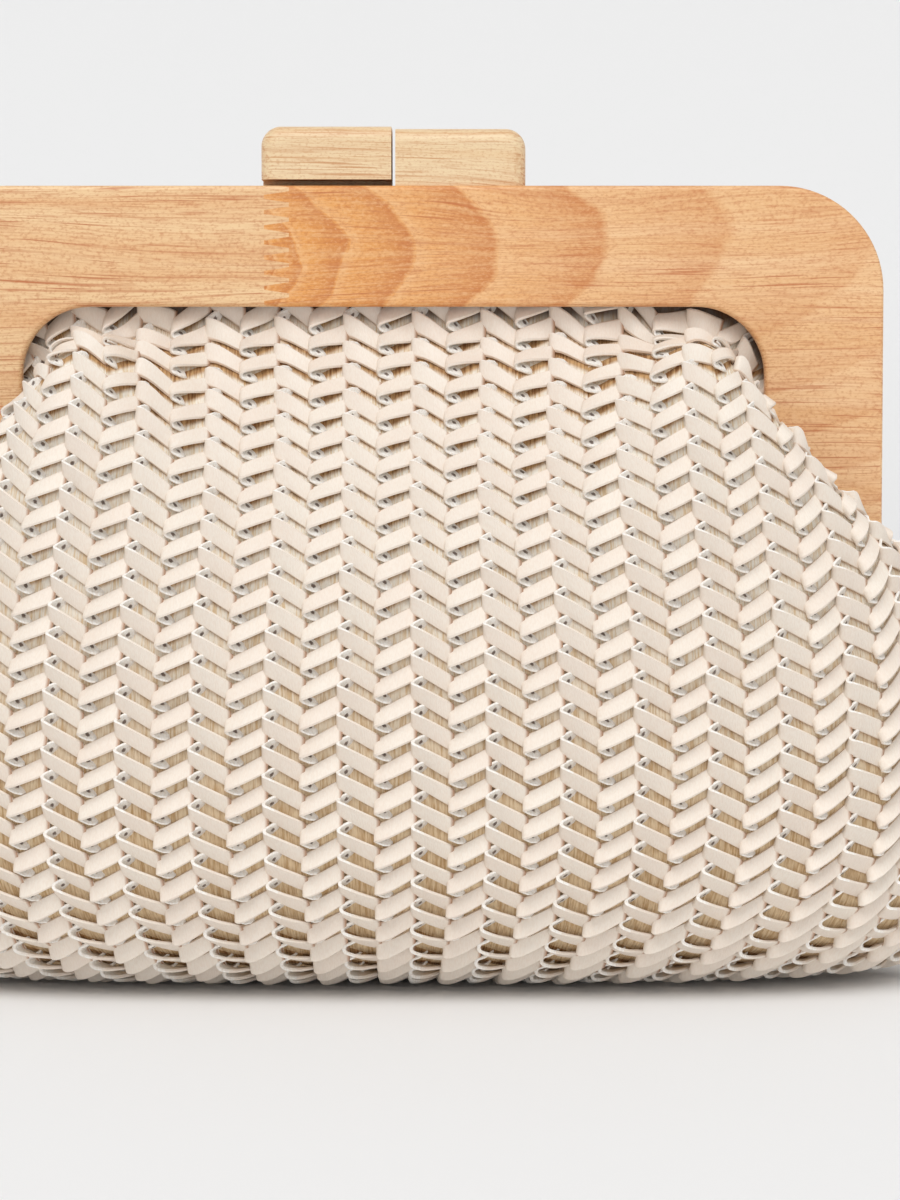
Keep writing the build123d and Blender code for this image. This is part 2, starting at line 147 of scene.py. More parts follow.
class Surface:
    """The front panel's outer face, by column share c from -1 to 1 and by t, the height along the rib."""

    COLUMN_STEPS, RIB_STEPS, FINE_STEPS = 289, 321, 700

    def __init__(self):
        self.c = np.linspace(-1, 1, self.COLUMN_STEPS)
        rings = control_points(np.abs(self.c))
        weights = spline_weights(np.linspace(1, 0, self.FINE_STEPS), len(rings))
        fine = sum(w[None, :, None] * ring[:, None, :] for w, ring in zip(weights, rings))
        fine[..., 0] *= np.sign(self.c)[:, None]
        fine[..., 1] = np.minimum(fine[..., 1], -FACE_CLEAR)
        self.length = np.zeros(self.COLUMN_STEPS)
        self.p = np.zeros((self.COLUMN_STEPS, self.RIB_STEPS, 3))
        share = np.linspace(0, 1, self.RIB_STEPS)
        for i in range(self.COLUMN_STEPS):
            run = np.concatenate([[0], np.cumsum(np.linalg.norm(np.diff(fine[i], axis=0), axis=1))])
            self.length[i] = run[-1]
            for j in range(3):
                self.p[i, :, j] = np.interp(share, run / run[-1], fine[i, :, j])
        self.dc = np.gradient(self.p, self.c, axis=0)
        dt = np.gradient(self.p, share, axis=1)
        self.n = self.normals(dt)
        self.rise = share[None, :] * self.length[:, None]
        steep = dt[..., 2] / self.length[:, None]
        rate = np.clip(steep / STEEP_EVEN_SHARE, STRETCH_LEAST_SHARE, 1)
        rate = np.where(self.rise > STRETCH_FROM, rate, 1)
        grown = (rate[:, 1:] + rate[:, :-1]) / 2 * np.diff(self.rise, axis=1)
        self.row = np.concatenate([np.zeros((self.COLUMN_STEPS, 1)), np.cumsum(grown, axis=1)], 1)

    def normals(self, dt):
        """Outward normals; along the side seam the panel lies in the middle plane and faces straight out."""
        n = np.cross(self.dc, dt)
        n /= np.linalg.norm(n, axis=2, keepdims=True)
        along = dt / np.linalg.norm(dt, axis=2, keepdims=True)
        across = np.zeros_like(n)
        across[..., 1] = np.sign(self.c)[:, None]
        side = np.abs(self.c)[:, None] > SEAM_FROM_SHARE
        seam = (self.p[..., 1] > -SEAM_NEAR) & side & (along[..., 2] > SEAM_STEEP_SHARE)
        return np.where(seam[..., None], np.cross(across, along), n)

    def ribs(self, c):
        return np.interp(c, self.c, self.length)

    def look(self, grid, c, t):
        """Values of a grid over the face at c and t."""
        inside = np.clip(c, -1, 1)
        f = (inside + 1) / 2 * (self.COLUMN_STEPS - 1)
        g = np.clip(t / self.ribs(inside), 0, 1) * (self.RIB_STEPS - 1)
        i = np.minimum(f.astype(int), self.COLUMN_STEPS - 2)
        j = np.minimum(g.astype(int), self.RIB_STEPS - 2)
        f, g = (f - i)[..., None], (g - j)[..., None]
        low = grid[i, j] * (1 - f) + grid[i + 1, j] * f
        high = grid[i, j + 1] * (1 - f) + grid[i + 1, j + 1] * f
        return low * (1 - g) + high * g

    def height(self, c, row):
        """The t of a place counted in rows, for one c."""
        i = int(round((c + 1) / 2 * (self.COLUMN_STEPS - 1)))
        beyond = max(row - self.row[i, -1], 0)
        return np.interp(row, self.row[i], self.rise[i]) + beyond

    def at(self, c, t, n):
        """World points, in millimetres, n above the face."""
        over = c - np.clip(c, -1, 1)
        normal = self.look(self.n, c, t)
        normal /= np.linalg.norm(normal, axis=-1, keepdims=True)
        return self.look(self.p, c, t) + over[..., None] * self.look(self.dc, c, t) + n[..., None] * normal

    def run(self, c, t):
        """Millimetres for one unit of c."""
        return np.linalg.norm(self.look(self.dc, c, t), axis=-1)


face = Surface()


# Meshes

TO_BACK, MIRROR = np.array([-1, -1, 1]), np.array([-1, 1, 1])


def link(name, data):
    o = bpy.data.objects.new(name, data)
    bpy.context.scene.collection.objects.link(o)
    return o


def build_mesh(name, points, polygons):
    """polygons is a list of index arrays, each with one row per polygon."""
    sizes = np.concatenate([np.full(len(p), p.shape[1]) for p in polygons])
    loops = np.concatenate([p.ravel() for p in polygons]).astype(np.int32)
    starts = np.concatenate([[0], np.cumsum(sizes)[:-1]]).astype(np.int32)
    m = bpy.data.meshes.new(name)
    m.vertices.add(len(points))
    m.vertices.foreach_set("co", points.astype(np.float32).ravel())
    m.loops.add(len(loops))
    m.loops.foreach_set("vertex_index", loops)
    m.polygons.add(len(sizes))
    m.polygons.foreach_set("loop_start", starts)
    m.polygons.foreach_set("use_smooth", np.full(len(sizes), True))
    m.update(calc_edges=True)
    m.validate()
    return m


def set_uv(m, uv):
    corners = np.zeros(len(m.loops), np.int32)
    m.loops.foreach_get("vertex_index", corners)
    layer = m.uv_layers.new(name="UVMap")
    layer.data.foreach_set("uv", uv[corners].astype(np.float32).ravel())


def set_value(m, name, values):
    m.attributes.new(name, "FLOAT", "POINT").data.foreach_set("value", values.astype(np.float32))


# The straps, in millimetres: each goes over one column, folds round its left edge and comes back behind

COLUMNS, COLUMN_SHIFT, NARROWEST_SHARE = 19.55, 0.156, 0.3
ROW_NUMBERS = range(-2, 40)
ROW_PITCH, ROW_PHASE, ROW_SKEW, ROW_JITTER = 7.0, 2.92, 0.035, 0.12
FALL, RISE, STEP_DOWN = 5.3, 4.4, 0.9
BOTTOM_REACH, TOP_REACH, FLOOR_GAP = 0.5, 1.5, 0.1
# One column lies nearly level in its last stretch below the bar, beside the opening's corner
LEVEL_COLUMN, LEVEL_REACH, LEVEL_FALL = 9, 42.0, 0.7

HALF_STRAP, HALF_THICK, CHAMFER = 2.55, 0.42, 0.3
RING = np.array([
    [-HALF_STRAP, 0], [-HALF_STRAP + CHAMFER, HALF_THICK], [HALF_STRAP - CHAMFER, HALF_THICK],
    [HALF_STRAP, 0], [HALF_STRAP - CHAMFER, -HALF_THICK], [-HALF_STRAP + CHAMFER, -HALF_THICK],
])
# Faces of the ring that show the strap's back: always, and for each slant from its head on
BACK_FACES = slice(3, 5)
HEAD_FACE, HEAD_SECTIONS = {True: 5, False: 2}, {True: 1, False: 2}

# Sections from the right end to the left, round the fold, and back behind
FRONT_SHARES = np.array([1.04, 0.96, 0.82, 0.62, 0.42, 0.22, 0.07])
FOLD, FOLD_ANGLES = 0.75, np.radians([0, 30, 60, 90, 120, 150, 180])
RETURN_RUN = np.array([1.2, 2.5, 3.4])
RETURN_DROP = np.array([0.05, 0.35, 0.9])
LEFT_SINK, RIGHT_SINK, LIFT_JITTER = 1.35, 2.75, 0.08
CROWN, LEAST_WIDTH = 0.35, 4.0
# Share of the strap's half width by section: on the edge that leans out, and on the sunk edge
PROUD_SHARES = np.array([1, 1, 1, 1, 1, 0.98, 0.93, 0.9, 0.86, 0.82, 0.8, 0.81, 0.83, 0.84, 0.8, 0.58, 0.25])
SUNK_SHARES = np.array([1, 1, 1, 1, 1, 1.04, 1.12, 1.16, 1.18, 1.14, 1.1, 1.08, 1.05, 1.0, 0.95, 0.8, 0.5])
# Painted brown shadow on the right end, which is tucked under the next column
TUCK_SHADE_SHARES = (1.0, 0.7)
# Tilt at the left and right end, in degrees: falling straps lean out at the top, rising ones at the bottom,
# and rising ones less where the face looks up
TILT, TILT_JITTER = {True: (42.0, 20.0), False: (33.0, 12.0)}, (2.5, 2.0)
UP_EASE = {True: 40.0, False: 0.0}


def strips(rising):
    """Rows of left c, right c, left t and right t, for the straps of one slant."""
    rows = []
    outermost = math.ceil(COLUMNS)
    for column in range(-outermost, outermost + 1):
        if (column % 2 == 0) != rising:
            continue
        c0 = max((column - 0.5 + COLUMN_SHIFT) / COLUMNS, -1.0)
        c1 = min((column + 0.5 + COLUMN_SHIFT) / COLUMNS, 1.0)
        if (c1 - c0) * COLUMNS < NARROWEST_SHARE:
            continue
        mid = (c0 + c1) / 2
        rib = min(face.ribs(c0), face.ribs(c1))
        for number in ROW_NUMBERS:
            t = face.height(mid, ROW_PHASE + ROW_PITCH * number + ROW_SKEW * mid * HALF_WIDTH)
            t += rng.normal(0, ROW_JITTER)
            low = t - FALL - STEP_DOWN
            left, right = (low, low + RISE) if rising else (t, t - FALL)
            if column == LEVEL_COLUMN and t > rib - LEVEL_REACH:
                middle = (left + right) / 2
                left, right = middle + LEVEL_FALL, middle - LEVEL_FALL
            if BOTTOM_REACH <= min(left, right) <= rib - TOP_REACH:
                rows.append((c0, c1, left, right))
    return np.array(rows)


def strap_path(rows, rising):
    """Millimetres for one c at each strap, and its sections' c, t, height over the face, tilt and turn."""
    count = len(rows)
    c0, c1, left, right = (rows[:, i][:, None] for i in range(4))
    run = face.run(c0[:, 0], left[:, 0])[:, None]
    slope = (right - left) / np.maximum((c1 - c0) * run, LEAST_WIDTH)
    eased = np.clip(face.look(face.n, c0, left)[..., 2], 0, 1) * UP_EASE[rising]
    tilt_left, tilt_right = (
        np.radians(tilt - eased + rng.normal(0, jitter, (count, 1)))
        for tilt, jitter in zip(TILT[rising], TILT_JITTER)
    )
    lift = rng.normal(0, LIFT_JITTER, (count, 1))
    n_left, n_right = lift - LEFT_SINK, lift - RIGHT_SINK

    q = FRONT_SHARES[None, :]
    inside = np.clip(q, 0, 1)
    ease = q * q * (3 - 2 * inside)
    front = (
        c0 + (c1 - c0) * q,
        left + (right - left) * q,
        n_left + (n_right - n_left) * ease + CROWN * np.sin(math.pi * inside),
        tilt_left + (tilt_right - tilt_left) * inside,
        np.zeros((count, len(FRONT_SHARES))),
    )
    angle = FOLD_ANGLES[None, :]
    fold = (
        c0 - FOLD * np.sin(angle) / run,
        left - slope * FOLD * angle,
        n_left - FOLD * (1 - np.cos(angle)),
        np.repeat(tilt_left, len(FOLD_ANGLES), 1),
        np.repeat(angle, count, 0),
    )
    behind = RETURN_RUN[None, :]
    back = (
        c0 + behind / run,
        left - slope * FOLD * math.pi - slope * behind,
        n_left - 2 * FOLD - RETURN_DROP[None, :],
        np.repeat(tilt_left, len(RETURN_RUN), 1),
        np.full((count, len(RETURN_RUN)), math.pi),
    )
    return run, [np.concatenate(parts, 1) for parts in zip(front, fold, back)]


def strap_faces(count, sections, rising):
    """Quads along the straps with their material numbers, and the caps of both ends."""
    around = len(RING)
    base = np.arange(count)[:, None, None] * sections * around
    i = np.arange(sections - 1)[None, :, None] * around
    j = np.arange(around)[None, None, :]
    k = (j + 1) % around
    corners = (base + i + j, base + i + k, base + i + around + k, base + i + around + j)
    quads = np.stack(np.broadcast_arrays(*corners), -1)
    kind = np.zeros((sections - 1, around), int)
    kind[:, BACK_FACES] = 1
    kind[len(FRONT_SHARES) - HEAD_SECTIONS[rising]:, HEAD_FACE[rising]] = 1
    kind = np.broadcast_to(kind[None], quads.shape[:3]).ravel()
    start = np.arange(count)[:, None] * sections * around
    first = start + np.arange(around)[None, ::-1]
    last = start + (sections - 1) * around + np.arange(around)[None, :]
    return quads.reshape(-1, 4), kind, first, last


def strap_piece(name, rising, back):
    """All straps of one slant on one panel."""
    rows = strips(rising)
    sign = -1.0 if rising else 1.0
    run, (c, t, up, tilt, turn) = strap_path(rows, rising)
    count, sections = c.shape

    share = np.where(RING[:, 0][None, :] * sign > 0, PROUD_SHARES[:, None], SUNK_SHARES[:, None])
    across, thick = (RING[:, 0] * share)[None], RING[:, 1][None, None, :]
    cos_tilt, sin_tilt = np.cos(tilt)[..., None], np.sin(tilt)[..., None]
    cos_turn, sin_turn = np.cos(turn)[..., None], np.sin(turn)[..., None]
    ring_c = c[..., None] - thick * sin_turn / run[..., None]
    ring_t = t[..., None] + across * cos_tilt - sign * sin_tilt * thick * cos_turn
    ring_n = up[..., None] + sign * across * sin_tilt + cos_tilt * thick * cos_turn
    points = face.at(ring_c, ring_t, ring_n)
    points[..., 2] = np.maximum(points[..., 2], FLOOR_GAP)

    # u is 0 where the fold ends, v grows towards the edge that leans out
    step = np.linalg.norm(np.diff(points[:, :, 0], axis=1), axis=2).mean(0)
    along = np.concatenate([[0], np.cumsum(step)])
    along -= along[len(FRONT_SHARES) + len(FOLD_ANGLES) - 1]
    u = np.broadcast_to(along[None, :, None], ring_c.shape)
    v = np.broadcast_to(sign * across, ring_c.shape)
    tone = np.broadcast_to(rng.uniform(0, 1, (count, 1, 1)), ring_c.shape)
    # Painted shadow on the tucked right end, by section
    tuck_shade = np.zeros(sections)
    tuck_shade[:len(TUCK_SHADE_SHARES)] = TUCK_SHADE_SHARES
    tuck_shade = np.broadcast_to(tuck_shade[None, :, None], ring_c.shape)

    quads, kind, first, last = strap_faces(count, sections, rising)
    points = points.reshape(-1, 3)
    if back:
        points = points * TO_BACK
    m = build_mesh(name, points * MM, [quads, first, last])
    set_uv(m, np.stack([u.ravel(), v.ravel()], 1))
    set_value(m, "tone", tone.ravel())
    set_value(m, "tuck_shade", tuck_shade.ravel())
    pairs = np.zeros(len(m.edges) * 2, np.int32)
    m.edges.foreach_get("vertices", pairs)
    pairs = pairs.reshape(-1, 2)
    sharp = np.abs(pairs[:, 1] - pairs[:, 0]) == len(RING)
    m.attributes.new("sharp_edge", "BOOLEAN", "EDGE").data.foreach_set("value", sharp)
    m.materials.append(material["strap"])
    m.materials.append(material["strap_back"])
    kind = np.concatenate([kind, np.ones(len(first) + len(last), int)])
    m.polygons.foreach_set("material_index", kind.astype(np.int32))
    return link(name, m)


# The fibre backing and the lining, in millimetres

BOTTOM_GAP, CLOTH_FLOOR = 0.6, 0.6
# Room to the middle plane of the outer and the inner layer
CLOTH_CLEAR = (0.1, 0.05)
JUTE_DEPTH, JUTE_THICK, JUTE_TOP_GAP, JUTE_GRID = 3.35, 0.3, 0.8, (80, 60)
LINING_DEPTH, LINING_SLACK, SLACK_POWER = 5.0, 2.2, 1.5
LINING_THICK, LINING_TOP_GAP, LINING_GRID = 0.5, 1.2, (64, 40)


def jute_depth(share):
    return np.full_like(share, JUTE_DEPTH)


def lining_depth(share):
    return LINING_DEPTH + LINING_SLACK * np.sin(math.pi * share) ** SLACK_POWER


def cloth_piece(name, back, depth, grid, top_gap, thick):
    """A closed cloth of the panel's form, depth under its face, and its area in square metres."""
    columns, rows = grid
    c = np.repeat(np.linspace(-1, 1, columns + 1)[:, None], rows + 1, 1)
    share = np.repeat(np.linspace(0, 1, rows + 1)[None, :], columns + 1, 0)
    ribs = face.ribs(c)
    t = BOTTOM_GAP + (ribs - top_gap - BOTTOM_GAP) * share
    layers = []
    for extra, clear in zip((0.0, thick), CLOTH_CLEAR):
        p = face.at(c, t, -(depth(share) + extra))
        p[..., 1] = np.minimum(p[..., 1], -clear)
        p[..., 2] = np.maximum(p[..., 2], CLOTH_FLOOR)
        layers.append(p.reshape(-1, 3))
    number = np.arange(c.size).reshape(c.shape)
    corners = (number[:-1, :-1], number[1:, :-1], number[1:, 1:], number[:-1, 1:])
    outer = np.stack(corners, -1).reshape(-1, 4)
    inner = outer[:, ::-1] + c.size
    rim = np.concatenate([number[:, 0], number[-1, 1:], number[-2::-1, -1], number[0, -2:0:-1]])
    following = np.roll(rim, -1)
    edge = np.stack([rim, rim + c.size, following + c.size, following], -1)
    points = np.concatenate(layers)
    if back:
        points = points * TO_BACK
    m = build_mesh(name, points * MM, [outer, inner, edge])
    row = face.look(face.row[..., None], c, t)[..., 0]
    uv = np.stack([c * COLUMN_RUN, row], -1).reshape(-1, 2)
    set_uv(m, np.concatenate([uv, uv]))
    # Height below the mouth, which the jute's painted shade at the bar reads
    mouth = (ribs - t).ravel()
    set_value(m, "mouth", np.concatenate([mouth, mouth]))
    a = points[outer[:, 0]] - points[outer[:, 2]]
    b = points[outer[:, 1]] - points[outer[:, 3]]
    area = np.linalg.norm(np.cross(a, b), axis=1).sum() / 2 * MM**2
    return link(name, m), area


# Materials. A ramp is its start and end with its values there, a noise its rates, detail and roughness

def lin(r, g, b):
    """The linear colour of an sRGB one written from 0 to 255."""
    def channel(v):
        return v / 12.92 if v <= 0.04045 else ((v + 0.055) / 1.055) ** 2.4

    return (channel(r / 255), channel(g / 255), channel(b / 255), 1.0)


class Net:
    """A material of nodes around one Principled shader."""

    def __init__(self, name, rough, metal=0.0):
        self.m = bpy.data.materials.new(name)
        self.m.use_nodes = True
        self.t = self.m.node_tree
        self.bsdf = self.t.nodes["Principled BSDF"]
        self.bsdf.inputs["Roughness"].default_value = rough
        self.bsdf.inputs["Metallic"].default_value = metal

    def add(self, kind, inputs=None, out=0, **props):
        n = self.t.nodes.new(kind)
        for k, v in props.items():
            setattr(n, k, v)
        for k, v in (inputs or {}).items():
            if isinstance(v, bpy.types.NodeSocket):
                self.t.links.new(v, n.inputs[k])
            else:
                n.inputs[k].default_value = v
        return n.outputs[out]

    def math(self, op, a, b=0.0, clamp=False):
        return self.add("ShaderNodeMath", {0: a, 1: b}, operation=op, use_clamp=clamp)

    def times(self, a, b):
        return self.math("MULTIPLY", a, b)

    def plus(self, a, b, clamp=False):
        return self.math("ADD", a, b, clamp)

    def minus(self, a, b):
        return self.math("SUBTRACT", a, b)

    def swing(self, v, size):
        """A noise as a shift to both sides."""
        return self.times(self.minus(v, 0.5), size)

    def ramp(self, v, low, high, to_low=0.0, to_high=1.0):
        inputs = {"Value": v, "From Min": low, "From Max": high, "To Min": to_low, "To Max": to_high}
        return self.add("ShaderNodeMapRange", inputs, interpolation_type="SMOOTHSTEP")

    def mix(self, f, a, b):
        return self.add("ShaderNodeMix", {0: f, 6: a, 7: b}, out=2, data_type="RGBA")

    def split(self, v):
        n = self.add("ShaderNodeSeparateXYZ", {0: v}).node
        return n.outputs[0], n.outputs[1], n.outputs[2]

    def noise(self, places, rates, detail, rough=0.5):
        """Noise over three places, each stretched by its rate."""
        x, y, z = (self.times(place, rate) for place, rate in zip(places, rates))
        vector = self.add("ShaderNodeCombineXYZ", {"X": x, "Y": y, "Z": z})
        inputs = {"Vector": vector, "Scale": 1.0, "Detail": detail, "Roughness": rough}
        return self.add("ShaderNodeTexNoise", inputs)

    def place(self):
        """Object coordinates in millimetres."""
        co = self.add("ShaderNodeTexCoord", out=3)
        return self.split(self.add("ShaderNodeVectorMath", {0: co, "Scale": 1 / MM}, operation="SCALE"))

    def uv(self):
        u, v, _ = self.split(self.add("ShaderNodeUVMap", uv_map="UVMap"))
        return u, v

    def value(self, name):
        return self.add("ShaderNodeAttribute", out=2, attribute_name=name)

    def bump(self, height, strength, distance):
        b = self.add("ShaderNodeBump", {"Height": height, "Strength": strength, "Distance": distance})
        self.t.links.new(b, self.bsdf.inputs["Normal"])

    def colour(self, c):
        self.t.links.new(c, self.bsdf.inputs["Base Color"])
        return self.m


WOOD_ROUGH, WOOD_BUMP, GRAIN_DRIFT = 0.42, (0.03, 0.0002), 14.0
DRIFT_NOISE = ((0.010, 0.02, 0.045), 1.0)
BAND_NOISE, BAND_RAMP = ((0.006, 0.08, 0.16), 2.0), (0.36, 0.64)
PATCH_NOISE, PATCH_RAMP = ((0.02, 0.1, 0.09), 1.0), (0.32, 0.6, 0.35, 1.0)
DASH_NOISE, DASH_RAMP = ((0.035, 0.5, 2.1), 1.2), (0.60, 0.68)
VEIN_NOISE, VEIN_RAMP = ((0.011, 0.3, 0.95), 1.5), (0.57, 0.65)
FIBRE_NOISE = ((0.11, 1.2, 2.4), 3.0, 0.6)
STREAK_NOISE = ((0.014, 0.3, 0.6), 3.0, 0.6)
SPECK_NOISE = ((1.1, 1.6, 2.0), 2.0, 0.6)
STREAK_RAMPS = ((0.42, 0.66, 0.0, 0.42), (0.50, 0.30, 0.0, 0.30))
FIBRE_RAMPS = ((0.45, 0.72, 0.0, 0.5), (0.46, 0.28, 0.0, 0.35))
SPECK_RAMPS = ((0.50, 0.70, 0.0, 0.38), (0.50, 0.30, 0.0, 0.30))

# Cathedral arcs: height of their axis and its climb along x, their bend, and rings that widen along x
ARC_HEIGHT, ARC_CLIMB, ARC_BEND, ARC_WOBBLE = 183.0, 0.05, 0.042, 9.0
WOBBLE_NOISE = ((0.05, 0.05, 0.09), 2.0)
RING_WIDTH, RING_GROWTH, RING_OFFSET = 14.2, 4.9, 309.4
LATE_POWER, LATE_RAMP, EARLY_RAMP = 2.0, (0.92, 1.0, 1.0, 0.0), (0.0, 0.3, 0.3, 0.0)
ARC_FADE, PALE_FADE = (20.0, 105.0, 1.0, 0.35), (-30.0, 70.0, 0.95, 0.0)


def cathedral(n, place, base, light, dark, pale):
    """Arcs of late wood that open to the left, over a paler heart."""
    x, _, z = place
    off_axis = n.minus(z, n.plus(n.times(x, ARC_CLIMB), ARC_HEIGHT))
    bent = n.plus(x, n.times(n.times(off_axis, off_axis), ARC_BEND))
    bent = n.plus(bent, n.swing(n.noise(place, *WOBBLE_NOISE), ARC_WOBBLE))
    square = n.math("MAXIMUM", n.plus(n.times(bent, 2 * RING_GROWTH), RING_OFFSET), 0.0)
    ring = n.math("DIVIDE", n.minus(n.math("SQRT", square), RING_WIDTH), RING_GROWTH)
    age = n.math("FRACT", ring)
    late = n.times(n.math("POWER", age, LATE_POWER), n.ramp(age, *LATE_RAMP))
    strength = n.ramp(x, *ARC_FADE)
    base = n.mix(n.ramp(x, *PALE_FADE), base, pale)
    base = n.mix(n.times(late, strength), base, dark)
    return n.mix(n.times(n.ramp(age, *EARLY_RAMP), strength), base, light)


def wood(name, light, mid, pore, pores, veins, arcs=None):
    """Wood with its grain along x; arcs are the dark and pale colour of cathedral grain."""
    n = Net(name, WOOD_ROUGH)
    x, y, z = n.place()
    grain = (x, y, n.plus(z, n.swing(n.noise((x, y, z), *DRIFT_NOISE), GRAIN_DRIFT)))
    base = n.mix(n.ramp(n.noise(grain, *BAND_NOISE), *BAND_RAMP), light, mid)
    if arcs:
        base = cathedral(n, (x, y, z), base, light, *arcs)
    streak, fibre, speck = (n.noise(grain, *kind) for kind in (STREAK_NOISE, FIBRE_NOISE, SPECK_NOISE))
    for noise, dark, (to_dark, to_light) in (
        (streak, mid, STREAK_RAMPS), (fibre, pore, FIBRE_RAMPS), (speck, pore, SPECK_RAMPS),
    ):
        base = n.mix(n.ramp(noise, *to_dark), base, dark)
        base = n.mix(n.ramp(noise, *to_light), base, light)
    base = n.mix(n.ramp(n.noise(grain, *VEIN_NOISE), *VEIN_RAMP, 0.0, veins), base, pore)
    dashes = n.ramp(n.noise(grain, *DASH_NOISE), *DASH_RAMP)
    dashes = n.times(dashes, n.ramp(n.noise(grain, *PATCH_NOISE), *PATCH_RAMP))
    base = n.mix(n.times(dashes, pores), base, pore)
    n.bump(fibre, *WOOD_BUMP)
    return n.colour(base)


# Rate of the noises from strap to strap, by its tone
TONE_RATE = 60.0
STRAP_ROUGH, STRAP_BUMP, WARM_SHARE = 0.5, (0.4, 0.0002), 0.45
CLOUD_NOISE = ((0.12, 0.25, TONE_RATE), 2.0)
CREASE_NOISE, CREASE_RAMP = ((2.6, 0.9, TONE_RATE), 3.0), (0.35, 0.62, 0.2, 0.0)
# Painted shade along the strap's sunk edge, and a painted brown shadow on its tucked end
SUNK_EDGE_SHADE_RAMP, TUCK_SHADE_RAMP = (-2.5, -2.0, 0.75, 0.0), (0.45, 1.0, 0.0, 0.85)


def strap_material(name, pale, warm, edge, shade_brown):
    """Coated strap: creased, with painted shade along its sunk edge and a painted brown shadow where its end
    is tucked in.
    """
    n = Net(name, STRAP_ROUGH)
    u, v = n.uv()
    tone = n.value("tone")
    cloud = n.noise((u, v, tone), *CLOUD_NOISE)
    base = n.mix(n.plus(n.times(tone, WARM_SHARE), n.times(cloud, WARM_SHARE), True), pale, warm)
    creases = n.noise((u, v, tone), *CREASE_NOISE)
    base = n.mix(n.ramp(creases, *CREASE_RAMP), base, edge)
    # Painted shade along the sunk edge
    base = n.mix(n.ramp(v, *SUNK_EDGE_SHADE_RAMP), base, edge)
    # Painted brown shadow where the end is tucked under the next column
    base = n.mix(n.ramp(n.value("tuck_shade"), *TUCK_SHADE_RAMP), base, shade_brown)
    n.bump(creases, *STRAP_BUMP)
    return n.colour(base)


BACKING_ROUGH, BACKING_BUMP = 0.85, (0.5, 0.0004)
FUZZ_NOISE, FUZZ_RAMP, FUZZ_HEIGHT = ((1.8, 1.8, TONE_RATE), 3.0), (0.3, 0.65), 0.5
# Painted shadow of the hollow inside the fold, a dark spot: its place behind the fold, its stray, its ragged
# edge, and the square of its radius
SHADOW_SPOT_RUN, SHADOW_SPOT_STRAY, SHADOW_SPOT_FUZZ, SHADOW_SPOT_RAMP = 1.5, 0.8, 0.8, (0.12, 0.55, 0.85, 0.0)
PLAIN_RAMP = (-7.5, -3.5, 0.75, 0.0)


def backing_material(name, light, dark, fold_shadow, plain):
    """The strap's fuzzy back, with one dark spot of painted shadow where it comes back behind the fold."""
    n = Net(name, BACKING_ROUGH)
    u, v = n.uv()
    tone = n.value("tone")
    fuzz = n.noise((u, v, tone), *FUZZ_NOISE)
    base = n.mix(n.ramp(fuzz, *FUZZ_RAMP), dark, light)
    along, across = n.minus(u, SHADOW_SPOT_RUN), n.plus(v, n.swing(tone, SHADOW_SPOT_STRAY))
    away = n.plus(n.times(along, along), n.times(across, across))
    shadow_spot = n.ramp(n.plus(away, n.swing(fuzz, SHADOW_SPOT_FUZZ)), *SHADOW_SPOT_RAMP)
    # Painted shadow: a dark spot for the hollow inside the fold
    base = n.mix(shadow_spot, base, fold_shadow)
    base = n.mix(n.ramp(u, *PLAIN_RAMP), base, plain)
    n.bump(n.minus(n.times(fuzz, FUZZ_HEIGHT), shadow_spot), *BACKING_BUMP)
    return n.colour(base)


LINING_ROUGH, LINING_BUMP, THREAD_PITCH, THREAD_SHARE = 0.85, (0.3, 0.0002), 0.6, 0.2
SPOT_NOISE, SPOT_RAMP = ((0.3, 0.3, 0.0), 3.0), (0.25, 0.85)


def lining_material(name, light, dark):
    """Plain woven cloth."""
    n = Net(name, LINING_ROUGH)
    u, v = n.uv()
    warp, weft = (n.math("SINE", n.times(place, 2 * math.pi / THREAD_PITCH)) for place in (u, v))
    weave = n.times(warp, weft)
    mixed = n.plus(n.times(weave, THREAD_SHARE), n.noise((u, v, 0.0), *SPOT_NOISE))
    n.bump(weave, *LINING_BUMP)
    return n.colour(n.mix(n.ramp(mixed, *SPOT_RAMP), dark, light))


JUTE_ROUGH, JUTE_BUMP = 0.9, (0.7, 0.0006)
THREAD_NOISE, CLUMP_NOISE = ((2.0, 0.16, 1.0), 3.0, 0.6), ((0.55, 0.1, 1.0), 2.0)
CLUMP_PLACE, FINE_SHARE, CLUMP_SHARE = 4.0, 0.65, 0.35
# Whole columns and rows that are added so that the counts stay above zero
SPARE_COLUMNS, SPARE_ROWS = 100, 100
# Painted shade: brown at the top of each gap, under the strap above it
SHADE_IN_GAP_RAMP, HEIGHT_RAMP, BAR_SHADE_RAMP = (0.54, 0.80), (70.0, 150.0), (4.5, 7.5, 0.85, 0.0)
TAN_RAMP, TAN = (0.36, 0.60), (lin(200, 164, 118), lin(242, 218, 180))
CREAM_RAMP, CREAM = (0.36, 0.58), (lin(232, 206, 168), lin(254, 248, 236))
UNDER_STRAP_SHADE_RAMP, UNDER_STRAP_SHADE = (0.38, 0.62), (lin(148, 102, 60), lin(212, 172, 122))
# Painted shade in the pockets below the bar, where the jute lies deep behind the wood
BAR_SHADE = lin(84, 60, 48)


